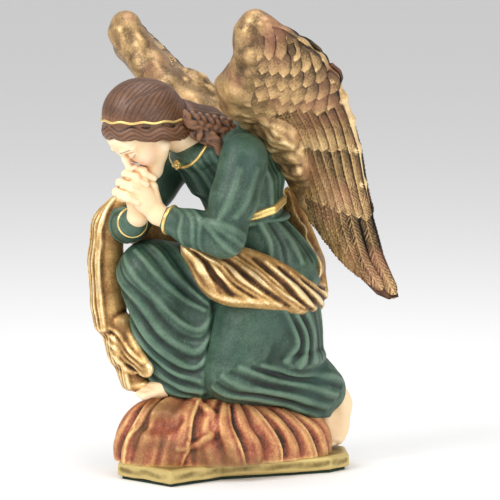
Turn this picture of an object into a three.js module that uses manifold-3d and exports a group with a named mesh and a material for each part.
// Kneeling, praying angel figurine: a cast-resin statuette built from separate castings that are
// pinned and glued together. Millimetres, +Z up, the angel faces -Y and its left side is +X.
// The castings are modelled round the centre of the plinth, and the whole group is then moved so that
// the middle of its bounding box stands over the origin, with the felt on the ground.
import * as THREE from 'three';
import { ConvexGeometry } from 'three/addons/geometries/ConvexGeometry.js';
import { mergeVertices } from 'three/addons/utils/BufferGeometryUtils.js';
import Module from 'manifold-3d';

// Driving dimensions
const GLUE_GAP = 0.3; // between two castings that meet
const FELT_THICKNESS = 1.5;
const FELT_INSET = 6;
const PLINTH_HEIGHT = 9.5;
const PLINTH_CHAMFER = 1.2;
const DOWEL_RADIUS = 2; // wing and neck pins
const WRIST_PIN_RADIUS = 1.2;
const BODY_PIN_RADIUS = 3; // pins through the mound, knees and waist
const PIN_SIDES = 12;
const BALL_DETAIL = 1; // subdivisions of the balls that round each casting
const WING_TIP_HEIGHT = 116; // both wings come down to this height
const RIGHT_WING_SCALE = 0.93; // the right wing doesn't stand quite as tall as the left
const WING_CAMBER = 5; // how far the wing's middle stands forward of its two edges
const WING_ROUND = 14; // points round a section of the wing
const WING_STEPS = 18; // sections from the wing's top to its tip

const wasm = await Module();
wasm.setup();

// A closed geometry as a solid.
function solid(geometry) {
  const bare = new THREE.BufferGeometry();
  bare.setAttribute('position', geometry.getAttribute('position').clone());
  if (geometry.index) bare.setIndex(geometry.index.clone());
  const merged = mergeVertices(bare, 1e-3);
  return new wasm.Manifold(new wasm.Mesh({
    numProp: 3,
    vertProperties: merged.attributes.position.array,
    triVerts: new Uint32Array(merged.index.array),
  }));
}

// A solid as a geometry that a mesh can show.
function geometryOf(shape) {
  const mesh = shape.getMesh();
  const geometry = new THREE.BufferGeometry();
  geometry.setAttribute('position', new THREE.BufferAttribute(new Float32Array(mesh.vertProperties), 3));
  geometry.setIndex(new THREE.BufferAttribute(new Uint32Array(mesh.triVerts), 1));
  const flat = geometry.toNonIndexed();
  flat.computeVertexNormals();
  return flat;
}

// The tight skin round a few balls. Each ball is [x, y, z, radius] or [x, y, z, rx, ry, rz].
function hull(balls, grow = 0) {
  const points = [];
  for (const [x, y, z, rx, ry = rx, rz = rx] of balls) {
    const ball = new THREE.IcosahedronGeometry(1, BALL_DETAIL);
    ball.rotateX(0.3).rotateZ(0.2);
    ball.scale(rx + grow, ry + grow, rz + grow).translate(x, y, z);
    const corners = ball.getAttribute('position');
    for (let i = 0; i < corners.count; i++) points.push(new THREE.Vector3().fromBufferAttribute(corners, i));
  }
  return solid(new ConvexGeometry(points));
}

// A limb: neighbouring balls are skinned in pairs and the pairs joined, so that the limb can bend.
function limb(balls, grow = 0) {
  const spans = balls.slice(1).map((ball, i) => hull([balls[i], ball], grow));
  return spans.reduce((whole, span) => whole.add(span));
}

const join = (...shapes) => shapes.reduce((whole, shape) => whole.add(shape));

// A straight metal pin between two points.
function pin(from, to, radius, grow = 0) {
  const start = new THREE.Vector3(...from);
  const end = new THREE.Vector3(...to);
  const way = end.clone().sub(start);
  const length = way.length() + 2 * grow;
  const geometry = new THREE.CylinderGeometry(radius + grow, radius + grow, length, PIN_SIDES);
  const turn = new THREE.Quaternion().setFromUnitVectors(new THREE.Vector3(0, 1, 0), way.normalize());
  geometry.applyQuaternion(turn);
  geometry.translate(...start.add(end).multiplyScalar(0.5).toArray());
  return solid(geometry);
}

// An oval band: a torus stretched to half-widths a and b, tilted about X then Z, and put at a centre.
function band(centre, a, b, thickness, tiltX, turnZ, grow = 0, sides = 24) {
  const geometry = new THREE.TorusGeometry(2, 1, 6, sides);
  const spots = geometry.getAttribute('position');
  const spot = new THREE.Vector3();
  for (let i = 0; i < spots.count; i++) {
    spot.fromBufferAttribute(spots, i);
    const angle = Math.atan2(spot.y, spot.x);
    // the plain torus has radius 2 and tube radius 1, so what is over 2 belongs to the tube
    const out = Math.hypot(spot.x, spot.y) - 2;
    const tube = thickness + grow;
    spot.set(
      Math.cos(angle) * (a + out * tube),
      Math.sin(angle) * (b + out * tube),
      spot.z * tube,
    );
    spots.setXYZ(i, spot.x, spot.y, spot.z);
  }
  geometry.rotateX(tiltX).rotateZ(turnZ).translate(...centre);
  return solid(geometry);
}

// --- The plinth, its felt and the draped mound ---

const PLINTH_CORNERS = [
  [-43, -58], [-10, -82], [38, -68], [31, -24], [43, 52], [36, 70], [10, 82], [-30, 80], [-43, 46],
];

// The plinth's outline, drawn in by some millimetres all round.
function plinthOutline(inset) {
  const corners = PLINTH_CORNERS.map(([x, y]) => new THREE.Vector2(x, y));
  const inner = corners.map((corner, i) => {
    const before = corners.at(i - 1);
    const after = corners[(i + 1) % corners.length];
    const a = corner.clone().sub(before).normalize();
    const b = after.clone().sub(corner).normalize();
    const inA = new THREE.Vector2(-a.y, a.x);
    const inB = new THREE.Vector2(-b.y, b.x);
    return corner.clone().addScaledVector(inA.add(inB), inset / (1 + inA.dot(inB)));
  });
  return new THREE.Shape(inner);
}

function slab(inset, bottom, height, chamfer, grow) {
  const geometry = new THREE.ExtrudeGeometry(plinthOutline(inset + chamfer - grow), {
    depth: height - 2 * chamfer + 2 * grow,
    bevelEnabled: chamfer > 0,
    bevelThickness: chamfer,
    bevelSize: chamfer,
    bevelSegments: 1,
  });
  return solid(geometry.translate(0, 0, bottom + chamfer - grow));
}

const PLINTH_TOP = FELT_THICKNESS + GLUE_GAP + PLINTH_HEIGHT;
const feltPad = (grow) => slab(FELT_INSET, 0, FELT_THICKNESS, 0, grow);
const basePlinth = (grow) => slab(0, FELT_THICKNESS + GLUE_GAP, PLINTH_HEIGHT, PLINTH_CHAMFER, grow);

function draperyMound(grow) {
  const front = hull([[-8, -44, 15, 36, 36, 38], [6, -12, 16, 38, 35, 38]], grow);
  const back = hull([[6, -12, 16, 38, 35, 38], [6, 18, 14, 36, 33, 34], [8, 42, 12, 32, 23, 26]], grow);
  const floor = new THREE.BoxGeometry(200, 200, 100).translate(0, 0, PLINTH_TOP + GLUE_GAP - grow - 50);
  return join(front, back).subtract(solid(floor));
}

// --- The robe ---

const robeFrontLeg = (grow) => join(
  limb([[-19, -51, 134, 21, 22, 21], [-17, -42, 92, 21, 21, 20], [-13, -32, 60, 24, 22, 12]], grow),
  hull([[-19, -51, 134, 21, 22, 20], [-12, 8, 124, 26, 24, 24]], grow),
  hull([[-10, -20, 112, 22, 16, 20], [4, -22, 66, 20, 17, 17]], grow),
);

const robeKneelingLeg = (grow) => join(
  hull([[0, 11, 168, 32, 28, 8], [3, 24, 136, 39, 34, 26]], grow),
  hull([[4, 25, 120, 39, 34, 24], [12, 30, 76, 31, 29, 14]], grow),
  hull([[20, 6, 112, 27, 26, 20], [22, -14, 70, 21, 18, 20]], grow),
  limb([[18, 0, 66, 20, 18, 20], [14, 54, 56, 17, 15, 18], [12.5, 65, 51, 14, 13, 15]], grow),
  hull([[14, 40, 50, 16, 16, 14], [12, 58, 40, 13, 9, 14]], grow),
);

const robeBodice = (grow) => join(
  hull([[0, 11, 170, 32, 28, 7], [0, 4, 197, 36, 28, 14]], grow),
  hull([[0, 4, 197, 36, 28, 14], [0, -4, 216, 36, 26, 20]], grow),
  hull([[0, -20, 212, 24, 23, 14], [0, -10, 196, 26, 25, 12]], grow),
);

const sleeveLeft = (grow) => limb([
  [40, -14, 212, 15, 16, 17], [44, -24, 188, 14, 15, 15], [43, -31, 165, 14, 14, 13],
  [27, -45, 168, 11], [15, -53, 172, 9.5],
], grow);

const sleeveRight = (grow) => limb([
  [-40, -14, 212, 15, 16, 17], [-42, -36, 188, 14, 15, 15], [-36, -58, 166, 12, 13, 12],
  [-24, -64, 166, 10.5], [-16, -67, 168, 9.5],
], grow);

// --- Head, hair, hands and feet ---

const head = (grow) => join(
  hull([[0, -71, 238, 18.5, 20.5, 20], [0, -67, 224, 14.5, 16, 16], [0, -60, 205, 4.5]], grow),
  hull([[0, -76.5, 206.5, 2.4], [0, -84, 218, 3], [0, -72, 214, 5]], grow),
  limb([[0, -47, 225, 11, 10.5, 11], [0, -26, 218, 12, 11, 11]], grow),
);

const hairCap = (grow) => join(
  hull([[0, -68, 242, 23, 26, 23], [0, -66, 231, 24.5, 28.5, 6]], grow),
  hull([[0, -42, 238, 18, 12, 14], [0, -56, 240, 21, 18, 16]], grow),
);

const hairLocks = (grow) => join(
  limb([[0, -32, 238, 17, 10, 10], [0, -14, 237, 14, 9, 7], [0, -2, 228, 12, 7, 7]], grow),
  limb([[13, -30, 230, 7], [18, -20, 225, 6]], grow),
  limb([[-13, -30, 230, 7], [-18, -20, 225, 6]], grow),
);

const handLeft = (grow) => join(
  hull([[8, -61, 176, 6.5], [5, -70, 190, 7], [3, -73, 199, 5]], grow),
  hull([[5, -70, 192, 6], [-2, -82, 190, 4.5], [0, -78, 181, 5]], grow),
  limb([[16, -54, 172, 6], [8, -61, 176, 6.5]], grow),
);

const handRight = (grow) => join(
  hull([[-8, -66, 174, 6.5], [-6, -72, 190, 6.5], [-4, -74, 199, 4.5]], grow),
  limb([[-16, -67, 168, 6], [-8, -66, 174, 6.5]], grow),
);

const footFront = (grow) => limb([
  [-9, -35, 60, 9, 10, 8], [-9, -49, 58, 8.6, 9, 6], [-9, -59, 55.5, 8.6, 6, 4.4],
], grow);

const footRear = (grow) => limb([
  [12, 72, 48, 8, 9, 8], [12, 76, 40, 8, 7.5, 9], [11, 72, 18, 9, 7.5, 6],
], grow);

// --- Gold trims ---

// The lines of the collar and of the waist cord, round the outside of the bodice.
const COLLAR_LINE = [
  [18, -29, 221], [11, -21, 230], [0, -17, 234], [-11, -21, 230], [-18, -29, 221],
  [-18, -35, 214], [-10, -40, 206], [1, -41, 205], [11, -40, 206], [18, -34, 214],
];
const WAIST_LINE = [
  [33, 8, 175], [27, 22, 180], [12, 31, 183], [-12, 31, 183], [-27, 22, 180],
  [-33, 8, 175], [-25, -4, 171], [-9, -11, 169], [9, -11, 169], [25, -4, 171],
];
const ringOfCord = (line, radius, grow) => limb([...line, line[0]].map((spot) => [...spot, radius]), grow);

const circlet = (grow) => band([0, -67.5, 238], 23.6, 27, 1.1, -0.02, 0, grow, 32);
const collarTrim = (grow) => ringOfCord(COLLAR_LINE, 1.6, grow);
const collarBrooch = (grow) => hull([[3, -42, 207, 3.2, 2.2, 3.2]], grow);
const cuffLeft = (grow) => hull([[14.6, -53.3, 172.3, 9.4], [12.4, -55, 173.2, 8.6]], grow);
const cuffRight = (grow) => hull([[-15.4, -67.2, 168.2, 9.4], [-12.8, -67.4, 169.2, 8.6]], grow);
const waistCord = (grow) => ringOfCord(WAIST_LINE, 2.4, grow);

// --- The gilded mantle ---

const mantleWrap = (grow) => limb([
  [15, -38, 152, 5], [22, -32, 141, 7.5, 7.5, 12], [29, -15, 135, 7.5, 7.5, 15.5],
  [37.5, -2, 132, 7.5, 7.5, 13.5], [40, 14, 126, 7.5, 7.5, 11], [35, 36, 118, 7.5, 7.5, 9],
  [13.5, 56, 117, 8, 8, 9], [-9, 56, 120, 8, 8, 10], [-31, 43, 125, 8, 8, 10.5], [-40, 21, 130, 8, 8, 11],
], grow);

const mantleBack = (grow) => hull([
  [0, 36, 184, 18, 6, 5], [2, 46, 160, 24, 7, 10], [3, 52, 136, 26, 9, 14],
], grow);

const mantleFar = (grow) => limb([
  [-40, 22, 132, 8, 12, 14], [-44, -8, 146, 7, 12, 14], [-45, -42, 158, 8, 12, 12],
], grow);

const mantleFall = (grow) => join(
  limb([
    [-39, -62, 176, 8, 9, 9], [-41, -70, 164, 9, 10, 12],
    [-42, -70, 112, 10, 11, 12], [-40, -69, 98, 11, 11, 8],
  ], grow),
  limb([[-36, -66, 98, 11, 9, 8], [-33, -63, 76, 12, 9, 7], [-26, -58, 60, 12, 9, 6]], grow),
  limb([[-34, -64, 96, 8, 5, 8], [-22, -63, 82, 10, 4.5, 8], [-10, -60, 72, 9, 4, 6]], grow),
);

// --- The wings ---

// Matching points on the left wing's front edge and back edge, from the top down to the tip, and the
// wing's half thickness there.
const WING_STATIONS = [
  { front: [79, -32, 310], back: [93, -18, 311], half: 3 },
  { front: [73, -38, 298], back: [111, -6, 301], half: 6 },
  { front: [69, -33, 288], back: [114, 1, 292], half: 6.5 },
  { front: [57, -29, 276], back: [115, 15, 277], half: 6 },
  { front: [37, -28, 260], back: [107, 29, 260], half: 5.5 },
  { front: [25, -4, 240], back: [90, 43, 240], half: 5.5 },
  { front: [22, 10, 226], back: [83, 49, 226], half: 5.5 },
  { front: [20, 20, 212], back: [80, 53, 212], half: 5 },
  { front: [18, 30, 202], back: [78, 56, 201], half: 4.5 },
  { front: [21, 40, 183], back: [74, 62, 184], half: 4 },
  { front: [28, 48, 163], back: [70, 71, 164], half: 3.5 },
  { front: [36, 61, 144], back: [66, 80, 145], half: 3.2 },
  { front: [45, 72, 130], back: [64, 87, 131], half: 2.8 },
  { front: [55, 83, 117], back: [63, 92, 119], half: 2 },
];

// The fleshy arm that rounds the front of the left wing, and the mass over the shoulder blade.
const WING_ARM = [
  [86, -32, 308, 7.5], [83.5, -33, 301, 10], [79, -30, 290, 11.5], [66, -24, 276, 11.5], [47, -24, 262, 11.5],
  [34, -14, 250, 11.5], [27, 4, 238, 11], [24, 16, 226, 10], [21.5, 27, 212, 8.5], [21, 33, 203, 7.5],
  [23, 38, 193, 6.5], [26, 41, 181, 5],
];
const SHOULDER_BLADE = [[50, -4, 258, 15, 12, 17], [43, 12, 238, 16, 10, 18], [35, 28, 216, 14, 9, 18]];
const WING_ROOT = [[18, 0, 234, 6, 7, 6], [12, 16, 208, 6, 6, 6], [26, 12, 228, 5], [24, 22, 210, 4.5]];

// The height of a point of a wing, which the right wing's smaller scale brings nearer to its tip.
const wingHeight = (side, z) => (side > 0 ? z : WING_TIP_HEIGHT + (z - WING_TIP_HEIGHT) * RIGHT_WING_SCALE);

// Balls of the left wing, moved to the side they are wanted on.
const onSide = (side, balls) => balls.map(
  ([x, y, z, ...radii]) => [side * x, y, wingHeight(side, z), ...radii],
);

// The left wing is side 1 and the right wing, its mirror image, is side -1.
function wing(side, grow) {
  const along = (key) => new THREE.CatmullRomCurve3(
    WING_STATIONS.map((station) => new THREE.Vector3(...station[key])),
  );
  const front = along('front');
  const back = along('back');
  const last = WING_STATIONS.length - 1;
  const geometry = new THREE.CylinderGeometry(1, 1, 1, WING_ROUND, WING_STEPS);
  const spots = geometry.getAttribute('position');
  for (let i = 0; i < spots.count; i++) {
    const down = THREE.MathUtils.clamp(0.5 - spots.getY(i), 0, 1);
    const place = down * last;
    const station = Math.min(Math.floor(place), last - 1);
    const half = THREE.MathUtils.lerp(
      WING_STATIONS[station].half, WING_STATIONS[station + 1].half, place - station,
    );
    const lead = front.getPoint(down);
    const trail = back.getPoint(down);
    const chord = trail.clone().sub(lead).normalize();
    const fall = front.getTangent(down).add(back.getTangent(down)).normalize();
    const face = fall.clone().cross(chord).normalize();
    const across = (spots.getX(i) + 1) / 2;
    const spot = lead.clone().lerp(trail, across);
    spot.addScaledVector(chord, spots.getX(i) * grow);
    spot.addScaledVector(face, spots.getZ(i) * (half * (1.2 - 0.5 * across) + grow));
    spot.addScaledVector(face, WING_CAMBER * Math.sin(Math.PI * across));
    spot.addScaledVector(fall, (down - 0.5) * 2 * grow);
    spots.setXYZ(i, spot.x * side, spot.y, wingHeight(side, spot.z));
  }
  if (side < 0) mirrorFaces(geometry);
  return join(
    solid(geometry),
    limb(onSide(side, WING_ARM), grow),
    limb(onSide(side, SHOULDER_BLADE), grow),
    hull(onSide(side, WING_ROOT), grow),
  );
}

// Turns every face of an indexed geometry round, after its points have been mirrored.
function mirrorFaces(geometry) {
  const index = geometry.index;
  for (let i = 0; i < index.count; i += 3) {
    const second = index.getX(i + 1);
    index.setX(i + 1, index.getX(i + 2));
    index.setX(i + 2, second);
  }
}

// --- Every casting and pin, in the order in which they keep their shape ---
// A later piece is cut back from each earlier one that it would touch.

const RESIN = { roughness: 0.6, metalness: 0 };
const GILT = { roughness: 0.4, metalness: 0.6 };
const FINISHES = {
  steel: { color: 0xb9bbbe, roughness: 0.35, metalness: 1 },
  felt: { color: 0x23332a, roughness: 1, metalness: 0 },
  plinth_gold: { color: 0x9a8550, ...GILT },
  mound_copper: { color: 0xb0714a, ...GILT },
  robe_green: { color: 0x35574a, ...RESIN },
  skin: { color: 0xeccb9f, ...RESIN },
  hair_brown: { color: 0x63452f, ...RESIN },
  trim_gold: { color: 0xc09a4c, ...GILT },
  mantle_gold: { color: 0xa37d4c, ...GILT },
  wing_bronze: { color: 0x866a48, ...GILT },
};

// A wing pin runs from deep in the bodice, out and back, into the thick root of the wing.
const wingPin = (side, [x, y, z], reach) => (grow) => pin(
  [side * x, y, wingHeight(side, z)], [side * (x + reach), y + reach, wingHeight(side, z + reach / 4)],
  DOWEL_RADIUS, grow,
);

const PIECES = [
  ['neck_dowel', 'steel', (grow) => pin([0, -34, 221], [0, -8, 204], DOWEL_RADIUS, grow)],
  ['wing_dowel_left_upper', 'steel', wingPin(1, [8, -12, 220], 19)],
  ['wing_dowel_left_lower', 'steel', wingPin(1, [4, -1, 204], 20)],
  ['wing_dowel_right_upper', 'steel', wingPin(-1, [8, -12, 220], 19)],
  ['wing_dowel_right_lower', 'steel', wingPin(-1, [4, -1, 204], 20)],
  ['wrist_dowel_left', 'steel', (grow) => pin([28, -44, 167], [9, -60, 175], WRIST_PIN_RADIUS, grow)],
  ['wrist_dowel_right', 'steel', (grow) => pin([-28, -62, 166], [-8, -66, 173], WRIST_PIN_RADIUS, grow)],
  ['waist_dowel', 'steel', (grow) => pin([0, 11, 184], [0, 17, 142], BODY_PIN_RADIUS, grow)],
  ['knee_dowel', 'steel', (grow) => pin([18, -12, 34], [18, -12, 66], BODY_PIN_RADIUS, grow)],
  ['shin_dowel', 'steel', (grow) => pin([-16, -30, 34], [-16, -34, 70], BODY_PIN_RADIUS, grow)],
  ['plinth_dowel_front', 'steel', (grow) => pin([-6, -48, 6], [-6, -48, 24], BODY_PIN_RADIUS, grow)],
  ['plinth_dowel_back', 'steel', (grow) => pin([4, 34, 6], [4, 34, 20], BODY_PIN_RADIUS, grow)],
  ['felt_pad', 'felt', feltPad],
  ['base_plinth', 'plinth_gold', basePlinth],
  ['wing_left', 'wing_bronze', (grow) => wing(1, grow)],
  ['wing_right', 'wing_bronze', (grow) => wing(-1, grow)],
  ['head', 'skin', head],
  ['hand_left', 'skin', handLeft],
  ['hand_right', 'skin', handRight],
  ['foot_front', 'skin', footFront],
  ['foot_rear', 'skin', footRear],
  ['circlet', 'trim_gold', circlet],
  ['collar_brooch', 'trim_gold', collarBrooch],
  ['collar_trim', 'trim_gold', collarTrim],
  ['cuff_left', 'trim_gold', cuffLeft],
  ['cuff_right', 'trim_gold', cuffRight],
  ['waist_cord', 'trim_gold', waistCord],
  ['hair_cap', 'hair_brown', hairCap],
  ['hair_locks', 'hair_brown', hairLocks],
  ['sleeve_left', 'robe_green', sleeveLeft],
  ['sleeve_right', 'robe_green', sleeveRight],
  ['robe_bodice', 'robe_green', robeBodice],
  ['robe_kneeling_leg', 'robe_green', robeKneelingLeg],
  ['robe_front_leg', 'robe_green', robeFrontLeg],
  ['mantle_wrap', 'mantle_gold', mantleWrap],
  ['mantle_back', 'mantle_gold', mantleBack],
  ['mantle_far', 'mantle_gold', mantleFar],
  ['mantle_fall', 'mantle_gold', mantleFall],
  ['drapery_mound', 'mound_copper', draperyMound],
];

const boxOf = (shape) => {
  const { min, max } = shape.boundingBox();
  return new THREE.Box3(new THREE.Vector3(...min), new THREE.Vector3(...max));
};

// The largest separate body of a solid: a cut can leave crumbs, which the real casting doesn't have.
function largest(shape) {
  const bodies = shape.decompose();
  return bodies.reduce((best, body) => (body.volume() > best.volume() ? body : best));
}

const figurine = new THREE.Group();
const standing = [];
for (const [name, finish, make] of PIECES) {
  let shape = make(0);
  const box = boxOf(shape);
  for (const earlier of standing) {
    if (box.intersectsBox(earlier.box)) shape = shape.subtract(earlier.grown);
  }
  const grown = make(GLUE_GAP);
  standing.push({ grown, box: boxOf(grown) });
  const mesh = new THREE.Mesh(geometryOf(largest(shape)), new THREE.MeshStandardMaterial(FINISHES[finish]));
  mesh.name = name;
  figurine.add(mesh);
}

const whole = new THREE.Box3().setFromObject(figurine);
const middle = whole.getCenter(new THREE.Vector3());
figurine.position.set(-middle.x, -middle.y, -whole.min.z);

export default figurine;
